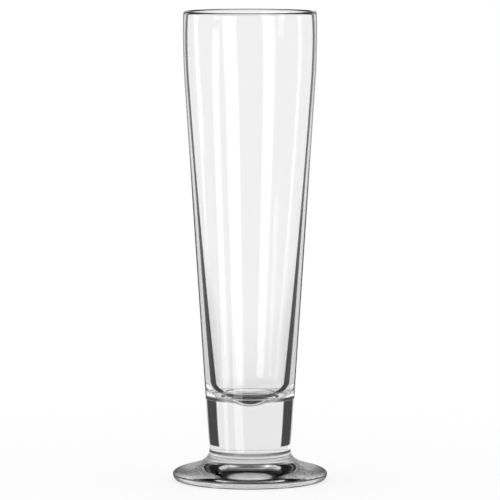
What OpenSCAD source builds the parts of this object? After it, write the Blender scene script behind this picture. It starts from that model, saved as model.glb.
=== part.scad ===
// Footed pilsner glass: a tall tapered bowl on a short solid stem and a round foot.
// All three are fused at flat seams. The origin is the middle of the foot, on the table.

/* [Overall] */
// Height from the table to the rim
height = 235; // [200:1:260]
// Widest outside diameter, just under the rim
mouth_d = 66.8; // [60:0.2:75]
// Outside diameter of the taper where it comes down to the foot
shank_d = 41; // [36:0.2:44]
// Widest diameter of the foot
foot_d = 77.4; // [70:0.2:90]

/* [Outside of the bowl] */
// Distance from the rim down to the widest place
widest_drop = 10; // [4:0.5:20]
// Distance from the rim down to where the straight taper ends
straight_drop = 37; // [25:1:60]

/* [Wall] */
// Wall at its thinnest, a little below the rim
wall = 2; // [1.4:0.1:3]
// Distance from the rim down to the thinnest wall
thin_drop = 17; // [8:1:22]
// Thickness of the fire-polished rim
rim_t = 2.3; // [1.8:0.1:3.4]
// Height of the oval rounding over the rim
rim_round = 1.8; // [1:0.1:3]
// Wall where the inner corner starts
wall_low = 5.5; // [3:0.1:7]

/* [Bottom of the drinking space] */
// Height of its flat ring above the table
bottom_h = 42; // [38:0.5:46]
// Height of the rounded corner, from the flat ring up to the wall
corner_rise = 8; // [3:0.5:12]
// Width of the rounded corner, from the wall in to the flat ring
corner_w = 5.2; // [3:0.1:7]
// Diameter of the dimple in the middle
dimple_d = 19; // [10:0.5:20]
// Depth of the dimple
dimple_drop = 4; // [1:0.1:5]
// Solid glass under the dimple, down to the seam with the stem
base_t = 4; // [2:0.1:10]

/* [Stem] */
// How far the stem is drawn in where it meets the foot
draw_in = 0.35; // [0.1:0.05:0.8]
// Height over which it is drawn in
draw_h = 13; // [4:0.5:14]

/* [Foot] */
// Height of the foot, up to its seam with the stem
foot_h = 15.6; // [13:0.2:18]
// Height of the widest place of its edge
edge_h = 3.2; // [2.6:0.1:4.4]
// Width of the rounding under its edge
edge_round = 2.9; // [1.5:0.1:4]
// How far the rounding over its edge climbs before it turns inwards
edge_pull = 4.4; // [3:0.1:5.5]
// How far the neck comes down before it flares outwards
neck_pull = 9.2; // [6:0.1:10]
// Small rounding at the top of the neck
neck_round = 0.25; // [0.15:0.05:0.6]
// Width of the flat ring that stands on the table
ring_w = 3.4; // [2:0.2:6]
// Depth of the hollow underneath, in the middle
recess_h = 2.6; // [1:0.1:3]

/* [Hidden] */
$fn = 180;
mouth_r = mouth_d / 2;
shank_r = shank_d / 2;
foot_r = foot_d / 2;
rim_r = rim_t / 2;
rim_h = height - rim_round;
widest_h = height - widest_drop;
straight_h = height - straight_drop;
thin_h = height - thin_drop;
taper = (mouth_r - shank_r) / (straight_h - foot_h + (widest_h - straight_h) / 2);
stem_low_r = shank_r - draw_in;
neck_r = stem_low_r + neck_round;
neck_h = foot_h - neck_round;
corner_h = bottom_h + corner_rise;
dimple_r = dimple_d / 2;
seam_h = bottom_h - dimple_drop - base_t;
ring_out_r = foot_r - edge_round;
ring_in_r = ring_out_r - ring_w;
curve_steps = 12;
wall_steps = 28;
corner_steps = 16;
dimple_steps = 10;
glass_color = [0.9, 0.93, 0.93, 0.5];

// A share of the way from a to b
function mix(a, b, share) = a + (b - a) * share;

// Outside of the bowl and stem: a straight taper, then a curve that stands upright
// at the widest height and leans in a little above it
function taper_r(h) = shank_r + taper * (h - foot_h);
function turn_share(h) = max(h - straight_h, 0) / (widest_h - straight_h);
function outer_r(h) = taper_r(h) - taper * (widest_h - straight_h) / 2 * pow(turn_share(h), 2);

// Wall, which thickens slowly from its thinnest height down to the inner corner, and up to the rim
function down_share(h) = max(thin_h - h, 0) / (thin_h - corner_h);
function up_share(h) = max(h - thin_h, 0) / (rim_h - thin_h);
function wall_t(h) =
    wall + (wall_low - wall) * pow(down_share(h), 2) + (rim_t - wall) * pow(up_share(h), 2);
function inner_r(h) = outer_r(h) - wall_t(h);

// Inner corner: the wall rounded in to the flat ring as the angle goes from 0 to 90
function corner_z(angle) = corner_h - corner_rise * sin(angle);
function corner_r(angle) = inner_r(corner_z(angle)) - corner_w * (1 - cos(angle));

// Dimple: it falls from the ring as a parabola and is level in the middle
function dimple_z(share) = bottom_h - dimple_drop * (1 - share * share);

// Stem: the taper, drawn in by a parabola in its lower part
function draw_share(h) = max(foot_h + draw_h - h, 0) / draw_h;
function stem_r(h) = outer_r(h) - draw_in * pow(draw_share(h), 2);

// Top of the foot: one smooth curve from the edge to the neck, upright at both ends
function bend(a, b, c, d, t) =
    pow(1 - t, 3) * a + 3 * pow(1 - t, 2) * t * b + 3 * (1 - t) * t * t * c + pow(t, 3) * d;
function flare_point(t) = [
    bend(foot_r, foot_r, neck_r, neck_r, t),
    bend(edge_h, edge_h + edge_pull, neck_h - neck_pull, neck_h, t)
];

module bowl() {
    turned_side = [for (i = [0:curve_steps])
        let (h = mix(straight_h, rim_h, i / curve_steps)) [outer_r(h), h]];
    rim_top = [for (i = [1:curve_steps - 1])
        let (angle = 180 * i / curve_steps)
        [outer_r(rim_h) - rim_r + rim_r * cos(angle), rim_h + rim_round * sin(angle)]];
    inner_wall = [for (i = [0:wall_steps])
        let (h = mix(rim_h, corner_h, i / wall_steps)) [inner_r(h), h]];
    inner_corner = [for (i = [1:corner_steps])
        let (angle = 90 * i / corner_steps) [corner_r(angle), corner_z(angle)]];
    dimple = [for (i = [dimple_steps:-1:0])
        let (share = i / dimple_steps) [dimple_r * share, dimple_z(share)]];
    color(glass_color)
        rotate_extrude()
            polygon(concat(
                [[0, seam_h], [outer_r(seam_h), seam_h]],
                turned_side, rim_top, inner_wall, inner_corner, dimple
            ));
}

module stem() {
    drawn_side = [for (i = [0:curve_steps])
        let (h = mix(foot_h, foot_h + draw_h, i / curve_steps)) [stem_r(h), h]];
    color(glass_color)
        rotate_extrude()
            polygon(concat([[0, foot_h]], drawn_side, [[outer_r(seam_h), seam_h], [0, seam_h]]));
}

module foot() {
    hollow = [for (i = [0:curve_steps])
        let (share = i / curve_steps) [ring_in_r * share, recess_h * (1 - share * share)]];
    under_edge = [for (i = [0:curve_steps - 1])
        let (angle = 90 * i / curve_steps)
        [ring_out_r + edge_round * sin(angle), edge_h - edge_h * cos(angle)]];
    flare = [for (i = [0:wall_steps]) flare_point(i / wall_steps)];
    neck_top = [for (i = [1:corner_steps])
        let (angle = 90 * i / corner_steps)
        [stem_low_r + neck_round * cos(angle), neck_h + neck_round * sin(angle)]];
    color(glass_color)
        rotate_extrude()
            polygon(concat(hollow, under_edge, flare, neck_top, [[0, foot_h]]));
}

bowl();
stem();
foot();
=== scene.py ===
import math

import bpy
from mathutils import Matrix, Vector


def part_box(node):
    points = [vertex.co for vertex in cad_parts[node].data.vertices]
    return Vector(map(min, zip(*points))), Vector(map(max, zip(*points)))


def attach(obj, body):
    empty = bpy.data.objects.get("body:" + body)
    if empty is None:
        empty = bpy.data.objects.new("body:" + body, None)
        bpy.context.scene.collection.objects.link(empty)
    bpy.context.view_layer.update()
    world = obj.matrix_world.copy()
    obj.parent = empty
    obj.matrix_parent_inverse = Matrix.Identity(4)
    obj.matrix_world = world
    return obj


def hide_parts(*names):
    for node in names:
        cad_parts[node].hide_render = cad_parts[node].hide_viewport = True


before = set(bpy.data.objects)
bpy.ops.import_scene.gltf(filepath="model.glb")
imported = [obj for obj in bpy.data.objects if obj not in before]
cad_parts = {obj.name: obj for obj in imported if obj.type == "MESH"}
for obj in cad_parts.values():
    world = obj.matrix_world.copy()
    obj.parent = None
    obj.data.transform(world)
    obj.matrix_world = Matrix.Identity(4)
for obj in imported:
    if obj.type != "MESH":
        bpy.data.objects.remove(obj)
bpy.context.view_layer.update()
scene = bpy.context.scene
mm = 0.001

print("stage 1: reading the sizes of the glass from the frame")
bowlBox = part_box("bowl")
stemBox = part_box("stem")
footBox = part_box("foot")
rimTop = bowlBox[1][2]
mouthRadius = bowlBox[1][0]
seamHeight = stemBox[1][2]
footTop = footBox[1][2]
footRadius = footBox[1][0]

# View of the photograph: a long lens, a little above the rim and looking slightly down
view = {
    "distance": 2.24,
    "height": 0.315,
    "lens": 324.0,
    "sensor": 36.0,
    "aimHeight": 0.11565,
    "nearest": 0.1,
    "farthest": 40.0,
}


def addCamera():
    pitch = math.atan2(view["height"] - view["aimHeight"], view["distance"])
    place = (0, -view["distance"], view["height"])
    bpy.ops.object.select_all(action="DESELECT")
    bpy.ops.object.camera_add(location=place, rotation=(math.pi / 2 - pitch, 0, 0))
    camera = bpy.context.object
    camera.name = "camera"
    camera.data.lens = view["lens"]
    camera.data.sensor_width = view["sensor"]
    camera.data.clip_start = view["nearest"]
    camera.data.clip_end = view["farthest"]
    scene.camera = camera


print("stage 2: camera")
addCamera()


def mixValue(a, b, share):
    return a + (b - a) * share


# Outside of the bowl and the stem
side = {
    "shankRadius": 20.5 * mm,     # the taper where it comes down to the foot
    "straightDrop": 37 * mm,      # from the rim down to the end of the straight taper
    "widestDrop": 10 * mm,        # from the rim down to the widest place
    "drawIn": 0.35 * mm,          # the stem is drawn in where it meets the foot
    "drawHeight": 13 * mm,
}
straightHeight = rimTop - side["straightDrop"]
widestHeight = rimTop - side["widestDrop"]
turnHeight = widestHeight - straightHeight
taper = (mouthRadius - side["shankRadius"]) / (straightHeight - footTop + turnHeight / 2)


def outerRadius(h):
    turned = max(h - straightHeight, 0) / turnHeight
    return side["shankRadius"] + taper * (h - footTop) - taper * turnHeight / 2 * turned ** 2


def stemRadius(h):
    drawn = max(footTop + side["drawHeight"] - h, 0) / side["drawHeight"]
    return outerRadius(h) - side["drawIn"] * drawn ** 2


# Inside of the bowl: the wall, the rounded corner, and a flat ring with a dimple in the middle
wall = {
    "thinnest": 2.0 * mm,
    "thinDrop": 17 * mm,          # from the rim down to the thinnest wall
    "rim": 2.3 * mm,
    "rimRound": 1.8 * mm,         # height of the oval rounding over the rim
    "low": 5.5 * mm,              # where the inner corner starts
    "bottomHeight": 42 * mm,
    "cornerRise": 8 * mm,
    "cornerWidth": 5.2 * mm,
    "dimpleRadius": 9.5 * mm,
    "dimpleDrop": 4 * mm,
}
rimHalf = wall["rim"] / 2
rimHeight = rimTop - wall["rimRound"]
thinHeight = rimTop - wall["thinDrop"]
cornerHeight = wall["bottomHeight"] + wall["cornerRise"]


def innerRadius(h):
    down = max(thinHeight - h, 0) / (thinHeight - cornerHeight)
    up = max(h - thinHeight, 0) / (rimHeight - thinHeight)
    lowPart = (wall["low"] - wall["thinnest"]) * down ** 2
    rimPart = (wall["rim"] - wall["thinnest"]) * up ** 2
    return outerRadius(h) - wall["thinnest"] - lowPart - rimPart


turning = {
    "steps": 384,
    "mergeReach": 0.002 * mm,
    "sharpAngle": 35,             # edges steeper than this stay sharp
}


def turnPiece(name, outline):
    # the outline is drawn in the XZ plane as a chain of vertices, then spun round the axis
    bpy.ops.object.select_all(action="DESELECT")
    bpy.ops.mesh.primitive_plane_add(size=mm, location=(0, 0, 0))
    piece = bpy.context.object
    piece.name = name
    bpy.ops.object.mode_set(mode="EDIT")
    bpy.ops.mesh.select_all(action="SELECT")
    bpy.ops.mesh.merge(type="CENTER")
    bpy.ops.transform.translate(value=(outline[0][0], 0, outline[0][1]))
    for start, end in zip(outline, outline[1:]):
        step = (end[0] - start[0], 0, end[1] - start[1])
        bpy.ops.mesh.extrude_vertices_move(TRANSFORM_OT_translate={"value": step})
    bpy.ops.mesh.select_all(action="SELECT")
    bpy.ops.mesh.spin(steps=turning["steps"], angle=2 * math.pi, center=(0, 0, 0), axis=(0, 0, 1))
    bpy.ops.mesh.select_all(action="SELECT")
    bpy.ops.mesh.remove_doubles(threshold=turning["mergeReach"])
    bpy.ops.mesh.normals_make_consistent(inside=False)
    bpy.ops.object.mode_set(mode="OBJECT")
    piece.data.name = name
    return piece


def bowlOutline():
    counts = {"turn": 24, "rim": 20, "wall": 40, "corner": 24, "dimple": 24}
    outline = [(0, seamHeight), (outerRadius(seamHeight), seamHeight)]
    for i in range(counts["turn"] + 1):
        h = mixValue(straightHeight, rimHeight, i / counts["turn"])
        outline.append((outerRadius(h), h))
    for i in range(1, counts["rim"]):
        angle = math.pi * i / counts["rim"]
        reach = outerRadius(rimHeight) - rimHalf + rimHalf * math.cos(angle)
        outline.append((reach, rimHeight + wall["rimRound"] * math.sin(angle)))
    for i in range(counts["wall"] + 1):
        h = mixValue(rimHeight, cornerHeight, i / counts["wall"])
        outline.append((innerRadius(h), h))
    for i in range(1, counts["corner"] + 1):
        angle = math.pi / 2 * i / counts["corner"]
        h = cornerHeight - wall["cornerRise"] * math.sin(angle)
        outline.append((innerRadius(h) - wall["cornerWidth"] * (1 - math.cos(angle)), h))
    for i in range(counts["dimple"] + 1):
        share = 1 - i / counts["dimple"]
        h = wall["bottomHeight"] - wall["dimpleDrop"] * (1 - share ** 2)
        outline.append((wall["dimpleRadius"] * share, h))
    return outline


def stemOutline():
    count = 24
    outline = [(0, footTop)]
    for i in range(count + 1):
        h = footTop + side["drawHeight"] * i / count
        outline.append((stemRadius(h), h))
    outline.append((outerRadius(seamHeight), seamHeight))
    outline.append((0, seamHeight))
    return outline


# Foot: a domed disc with a flared neck, hollow underneath
base = {
    "edgeHeight": 3.2 * mm,       # the widest place of its edge
    "edgeRound": 2.9 * mm,
    "edgePull": 4.4 * mm,         # how far the edge climbs before it turns inwards
    "neckPull": 9.2 * mm,         # how far the neck comes down before it flares
    "neckRound": 0.25 * mm,
    "ringWidth": 3.4 * mm,
    "recess": 2.6 * mm,
}


def bendValue(a, b, c, d, t):
    return (1 - t) ** 3 * a + 3 * (1 - t) ** 2 * t * b + 3 * (1 - t) * t ** 2 * c + t ** 3 * d


def footOutline():
    counts = {"recess": 24, "under": 16, "flare": 60, "neck": 8}
    ringOut = footRadius - base["edgeRound"]
    ringIn = ringOut - base["ringWidth"]
    stemLow = stemRadius(footTop)
    neck = stemLow + base["neckRound"]
    neckHeight = footTop - base["neckRound"]
    climb = base["edgeHeight"] + base["edgePull"]
    outline = []
    for i in range(counts["recess"] + 1):
        share = i / counts["recess"]
        outline.append((ringIn * share, base["recess"] * (1 - share ** 2)))
    for i in range(counts["under"]):
        angle = math.pi / 2 * i / counts["under"]
        h = base["edgeHeight"] * (1 - math.cos(angle))
        outline.append((ringOut + base["edgeRound"] * math.sin(angle), h))
    for i in range(counts["flare"] + 1):
        t = i / counts["flare"]
        h = bendValue(base["edgeHeight"], climb, neckHeight - base["neckPull"], neckHeight, t)
        outline.append((bendValue(footRadius, footRadius, neck, neck, t), h))
    for i in range(1, counts["neck"] + 1):
        angle = math.pi / 2 * i / counts["neck"]
        reach = stemLow + base["neckRound"] * math.cos(angle)
        outline.append((reach, neckHeight + base["neckRound"] * math.sin(angle)))
    outline.append((0, footTop))
    return outline


print("stage 3: turning the bowl, the stem and the foot")
bowl = turnPiece("glass_bowl", bowlOutline())
stem = turnPiece("glass_stem", stemOutline())
foot = turnPiece("glass_foot", footOutline())


def addNode(tree, kind, inputs, **settings):
    node = tree.nodes.new(kind)
    for name, value in settings.items():
        setattr(node, name, value)
    for name, value in inputs.items():
        if isinstance(value, bpy.types.NodeSocket):
            tree.links.new(value, node.inputs[name])
        else:
            node.inputs[name].default_value = value
    return node


def calculate(tree, operation, *values):
    node = addNode(tree, "ShaderNodeMath", dict(enumerate(values)), operation=operation)
    return node.outputs["Value"]


def between(tree, value, fromEnds, toEnds):
    ends = {"From Min": fromEnds[0], "From Max": fromEnds[1], "To Min": toEnds[0], "To Max": toEnds[1]}
    settings = {"interpolation_type": "SMOOTHSTEP"}
    node = addNode(tree, "ShaderNodeMapRange", {"Value": value, **ends}, **settings)
    return node.outputs["Result"]


def rising(tree, value, ends):
    return between(tree, value, ends, (0.0, 1.0))


def falling(tree, value, ends):
    return between(tree, value, ends, (1.0, 0.0))


def mixShaders(tree, share, first, second):
    return addNode(tree, "ShaderNodeMixShader", {0: share, 1: first, 2: second}).outputs["Shader"]


def startMaterial(name):
    material = bpy.data.materials.new(name)
    material.use_nodes = True
    material.node_tree.nodes.clear()
    return material, material.node_tree


def endMaterial(tree, surface):
    addNode(tree, "ShaderNodeOutputMaterial", {"Surface": surface})


# Clear glass. The studio alone leaves its edges too pale, so painted shade is added: black mixed
# in at set viewing angles and heights, chosen to match the photograph. Angles run from 0, seen square on,
# to 1, edge on
clear = {
    "tint": 0.935,
    "solidTint": 0.8,             # where the glass is solid, below the drinking space
    "solidHeights": (38 * mm, 43 * mm),
    "ior": 1.52,
    "undersideRoughness": 0.1,
}
solidTop = (41 * mm, 43 * mm)
shankLow = (18 * mm, 18.6 * mm)
shankHigh = (41 * mm, 42 * mm)
bottomLow = (40.8 * mm, 41.6 * mm)
bottomHigh = (42.4 * mm, 43.8 * mm)
outsidePaintedShade = [
    {"rise": (0.75, 0.86), "amount": 0.55, "above": solidTop},
    {"rise": (0.73, 0.86), "amount": 0.94, "above": solidTop, "below": (130 * mm, 210 * mm)},
    # painted shade on the sides of the solid stem
    {"rise": (0.35, 0.38), "fall": (0.74, 0.82), "amount": 0.92, "above": shankLow, "below": shankHigh},
    # painted shade round the edge of the drinking space, and where the stem meets the foot
    {"rise": (-0.15, 0.42), "amount": 0.92, "above": bottomLow, "below": bottomHigh},
    {"rise": (-0.5, 0.5), "amount": 0.85, "above": (14 * mm, 14.8 * mm), "below": (15.3 * mm, 15.9 * mm)},
    # painted shade at the widest edge of the foot: a thin dark line all round, and a broad shade towards
    # the outline
    {"rise": (-0.5, 0.2), "amount": 0.8, "above": (2.6 * mm, 2.9 * mm), "below": (3.5 * mm, 3.8 * mm)},
    {"rise": (0.55, 0.8), "amount": 0.8, "below": (5.5 * mm, 9 * mm)},
    {"rise": (0.45, 0.75), "amount": 0.55, "below": (12 * mm, 15 * mm)},
]
# Outermost sides of the solid stem: painted shade, the glass's tint darkened at set viewing angles, so its
# skin still mirrors light
solidPaintedShade = [
    {"rise": (0.72, 0.8), "amount": 0.8, "above": shankLow, "below": shankHigh},
]
# painted shade under the foot, mixed in at grazing viewing angles
undersidePaintedShade = [
    {"rise": (0.5, 0.75), "amount": 0.7},
]
# The dark line painted along the bore gets wider downwards, as in the photograph
wideLine = {"from": 165 * mm, "growth": 6.2}
boreLow = (42 * mm, 47 * mm)
# painted shade inside the bowl: the bore line and softer dark bands on the inner wall
insidePaintedShade = [
    {"rise": (0.24, 0.246), "fall": (0.26, 0.268), "widen": wideLine, "amount": 1.0, "above": boreLow},
    {"rise": (0.25, 0.262), "amount": 0.24, "above": (42 * mm, 52 * mm)},
    {"rise": (0.13, 0.27), "amount": 0.26, "above": (40 * mm, 50 * mm), "below": (60 * mm, 130 * mm)},
    {"rise": (0.13, 0.27), "amount": 0.06, "above": (40 * mm, 50 * mm)},
]


# share of painted shade: black mixed in by viewing angle and height, on one side of the surface
def paintedShadeShare(tree, tones, seenSide):
    facing = addNode(tree, "ShaderNodeLayerWeight", {"Blend": 0.5}).outputs["Facing"]
    place = addNode(tree, "ShaderNodeTexCoord", {}).outputs["Object"]
    height = addNode(tree, "ShaderNodeSeparateXYZ", {"Vector": place}).outputs["Z"]
    share = 0.0
    for tone in tones:
        band = calculate(tree, "MULTIPLY", rising(tree, facing, tone["rise"]), tone["amount"])
        if "fall" in tone:
            edge = facing
            if "widen" in tone:
                depth = calculate(tree, "SUBTRACT", tone["widen"]["from"], height)
                depth = calculate(tree, "MAXIMUM", depth, 0.0)
                wider = calculate(tree, "MULTIPLY", depth, depth)
                wider = calculate(tree, "MULTIPLY", wider, tone["widen"]["growth"])
                edge = calculate(tree, "SUBTRACT", facing, wider)
            band = calculate(tree, "MULTIPLY", band, falling(tree, edge, tone["fall"]))
        if "above" in tone:
            band = calculate(tree, "MULTIPLY", band, rising(tree, height, tone["above"]))
        if "below" in tone:
            band = calculate(tree, "MULTIPLY", band, falling(tree, height, tone["below"]))
        share = calculate(tree, "MAXIMUM", share, band)
    turned = addNode(tree, "ShaderNodeNewGeometry", {}).outputs["Backfacing"]
    seen = turned if seenSide == "back" else calculate(tree, "SUBTRACT", 1.0, turned)
    return calculate(tree, "MULTIPLY", share, seen), height


def glassMaterial(name, tones, seenSide, solid, roughness=0.0):
    material, tree = startMaterial(name)
    share, height = paintedShadeShare(tree, tones, seenSide)
    glass = addNode(tree, "ShaderNodeBsdfPrincipled", {
        "Base Color": (clear["tint"], clear["tint"], clear["tint"], 1.0),
        "Roughness": roughness,
        "IOR": clear["ior"],
        "Transmission Weight": 1.0,
    })
    if solid:
        tint = between(tree, height, clear["solidHeights"], (clear["solidTint"], clear["tint"]))
        # painted shade: the tint goes dark at set viewing angles on the stem's sides
        paintedSideShade = paintedShadeShare(tree, solidPaintedShade, "front")[0]
        tint = calculate(tree, "MULTIPLY", tint, calculate(tree, "SUBTRACT", 1.0, paintedSideShade))
        grey = addNode(tree, "ShaderNodeCombineColor", {"Red": tint, "Green": tint, "Blue": tint})
        tree.links.new(grey.outputs["Color"], glass.inputs["Base Color"])
    # painted shade: black mixed into the glass by the share worked out above
    dark = addNode(tree, "ShaderNodeBsdfDiffuse", {"Color": (0.0, 0.0, 0.0, 1.0)})
    endMaterial(tree, mixShaders(tree, share, glass.outputs["BSDF"], dark.outputs["BSDF"]))
    return material


def seamMaterial():
    # inside the fused glass nothing shows where the pieces meet
    material, tree = startMaterial("fused_seam")
    clearSeam = addNode(tree, "ShaderNodeBsdfPrincipled", {"Alpha": 0.0})
    endMaterial(tree, clearSeam.outputs["BSDF"])
    return material


faceTests = {
    "flatNormal": 0.999,
    "seamReach": 0.01 * mm,
    "belowDimple": 1 * mm,        # faces further down than this are never inside
    "overHollow": 0.3 * mm,
    "downNormal": -0.1,
}


def onInside(face):
    middle = math.hypot(face.center.x, face.center.y)
    rimMiddle = outerRadius(rimHeight) - rimHalf
    if face.center.z < wall["bottomHeight"] - wall["dimpleDrop"] - faceTests["belowDimple"]:
        return False
    if face.center.z > rimHeight:
        return middle < rimMiddle
    return middle < innerRadius(face.center.z) + wall["thinnest"] / 2


def onUnderside(face):
    low = face.center.z < base["recess"] + faceTests["overHollow"]
    return low and face.normal.z < faceTests["downNormal"]


def dressPiece(piece, seams, materials, isThird):
    for material in materials:
        piece.data.materials.append(material)
    for face in piece.data.polygons:
        flat = abs(face.normal.z) > faceTests["flatNormal"]
        atSeam = any(abs(face.center.z - h) < faceTests["seamReach"] for h in seams)
        if flat and atSeam:
            face.material_index = 1
        elif isThird and isThird(face):
            face.material_index = 2
    bpy.ops.object.select_all(action="DESELECT")
    piece.select_set(True)
    bpy.context.view_layer.objects.active = piece
    bpy.ops.object.shade_smooth_by_angle(angle=math.radians(turning["sharpAngle"]))


print("stage 4: materials")
outsideGlass = glassMaterial("clear_glass", outsidePaintedShade, "front", True)
insideGlass = glassMaterial("clear_glass_inside", insidePaintedShade, "back", False)
# a little roughness under the foot keeps speckle out of the glass above it
undersideGlass = glassMaterial(
    "clear_glass_underside", undersidePaintedShade, "front", True, clear["undersideRoughness"]
)
fusedSeam = seamMaterial()
for piece, node, seams, materials, isThird in (
    (bowl, "bowl", [seamHeight], [outsideGlass, fusedSeam, insideGlass], onInside),
    (stem, "stem", [seamHeight, footTop], [outsideGlass, fusedSeam], None),
    (foot, "foot", [footTop], [outsideGlass, fusedSeam, undersideGlass], onUnderside),
):
    dressPiece(piece, seams, materials, isThird)
    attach(piece, "root")
    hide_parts(node)


# Pale floor. Rays bent by the glass see a painted shadow on it, dimmer under the foot and nearly
# black under the stem: levels chosen to match the photograph, and not the floor's own shade
ground = {
    "radius": 1.6,
    "sides": 96,
    "colour": 0.97,
    "shadeKept": 0.25,            # how much of the real shade the white background keeps
    "fade": (0.08, 0.5),
    "coreShadowLevel": 0.05,
    "coreFade": (0.02, 0.027),
    "nearShadowLevel": 0.85,
    "nearFade": (0.036, 0.042),
}


def addFloor():
    bpy.ops.object.select_all(action="DESELECT")
    bpy.ops.mesh.primitive_circle_add(vertices=ground["sides"], radius=ground["radius"], fill_type="NGON")
    floor = bpy.context.object
    floor.name = "floor"
    material, tree = startMaterial("pale_floor")
    place = addNode(tree, "ShaderNodeTexCoord", {}).outputs["Object"]
    reach = addNode(tree, "ShaderNodeVectorMath", {0: place}, operation="LENGTH").outputs["Value"]
    path = addNode(tree, "ShaderNodeLightPath", {}).outputs
    grey = ground["colour"]
    pale = addNode(tree, "ShaderNodeBsdfDiffuse", {"Color": (grey, grey, grey, 1.0)}).outputs["BSDF"]
    white = addNode(tree, "ShaderNodeEmission", {"Strength": 1.0}).outputs["Emission"]
    shadowLevels = (ground["coreShadowLevel"], ground["nearShadowLevel"])
    # painted shadow seen through the glass: emission dimmer close to the stem and the foot
    level = between(tree, reach, ground["coreFade"], shadowLevels)
    paintedShadow = addNode(tree, "ShaderNodeEmission", {"Strength": level}).outputs["Emission"]
    nothing = addNode(tree, "ShaderNodeBsdfTransparent", {}).outputs["BSDF"]
    background = mixShaders(tree, ground["shadeKept"], white, pale)
    background = mixShaders(tree, rising(tree, reach, ground["fade"]), background, nothing)
    throughGlass = mixShaders(tree, rising(tree, reach, ground["nearFade"]), paintedShadow, nothing)
    bent = calculate(tree, "MAXIMUM", path["Is Glossy Ray"], path["Is Transmission Ray"])
    surface = mixShaders(tree, path["Is Camera Ray"], pale, background)
    endMaterial(tree, mixShaders(tree, bent, surface, throughGlass))
    material.cycles.emission_sampling = "NONE"
    floor.data.materials.append(material)
    return floor


# Studio that only the glass sees: white up to a little above eye level, a dim ceiling, and three
# tall softboxes on the left, placed so that their stripes fall as in the photograph. Degrees are
# across from straight behind the glass (minus is left) and up from level; a box that leans moves
# across by its lean for each degree up
studio = {
    "radius": 4.0,
    "segments": 64,
    "rings": 32,
    "soft": 1.5,                  # softness of a box's sides where it has none of its own
    "middle": 0.1,
    "white": 1.0,
    "ceiling": 0.12,
    "horizon": (15.0, 21.0),
    "boxes": [
        {"level": 2.5, "across": (-156.2, -132.4), "low": (-25, -23), "high": (11, 13), "lean": 0.31},
        {"level": 2.3, "across": (-125.8, -113.3), "low": (-25, -23), "high": (-0.6, 0.8), "lean": -0.5},
        {"level": 2.0, "across": (-76.0, -68.0), "low": (-10.5, -8.1), "high": (11, 13), "lean": 0.5},
        # a faint dip in the white, low down behind the glass
        {"level": -0.11, "across": (-40.0, 60.0), "low": (-41, -39), "high": (-10.4, -8.0), "soft": 4.0},
    ],
}


def addStudio():
    bpy.ops.object.select_all(action="DESELECT")
    bpy.ops.mesh.primitive_uv_sphere_add(
        segments=studio["segments"], ring_count=studio["rings"],
        radius=studio["radius"], location=(0, 0, studio["middle"]),
    )
    tent = bpy.context.object
    tent.name = "studio_tent"
    material, tree = startMaterial("studio_light")
    place = addNode(tree, "ShaderNodeTexCoord", {}).outputs["Object"]
    parts = addNode(tree, "ShaderNodeSeparateXYZ", {"Vector": place}).outputs
    across = calculate(tree, "DEGREES", calculate(tree, "ARCTAN2", parts["X"], parts["Y"]))
    slope = calculate(tree, "DIVIDE", parts["Z"], studio["radius"])
    up = calculate(tree, "DEGREES", calculate(tree, "ARCSINE", slope))
    level = between(tree, up, studio["horizon"], (studio["white"], studio["ceiling"]))
    for box in studio["boxes"]:
        soft = box.get("soft", studio["soft"])
        start, end = box["across"]
        leaned = calculate(tree, "SUBTRACT", across, calculate(tree, "MULTIPLY", up, box.get("lean", 0.0)))
        shape = rising(tree, leaned, (start - soft, start + soft))
        shape = calculate(tree, "MULTIPLY", shape, falling(tree, leaned, (end - soft, end + soft)))
        shape = calculate(tree, "MULTIPLY", shape, rising(tree, up, box["low"]))
        shape = calculate(tree, "MULTIPLY", shape, falling(tree, up, box["high"]))
        level = calculate(tree, "MULTIPLY_ADD", shape, box["level"], level)
    glow = addNode(tree, "ShaderNodeEmission", {"Strength": level}).outputs["Emission"]
    endMaterial(tree, glow)
    material.cycles.emission_sampling = "NONE"
    tent.data.materials.append(material)
    tent.visible_camera = False
    tent.visible_diffuse = False
    tent.visible_shadow = False
    return tent


def addWorld():
    world = bpy.data.worlds.new("studio_world")
    world.use_nodes = True
    background = world.node_tree.nodes["Background"]
    background.inputs["Color"].default_value = (1.0, 1.0, 1.0, 1.0)
    background.inputs["Strength"].default_value = 1.0
    scene.world = world


print("stage 5: floor and light")
addFloor()
addStudio()
addWorld()

scene.view_settings.view_transform = "Standard"
bounces = {
    "max_bounces": 32,
    "glossy_bounces": 16,
    "transmission_bounces": 24,
    "transparent_max_bounces": 48,
}
for name, count in bounces.items():
    setattr(scene.cycles, name, count)

print("stage 6: done")
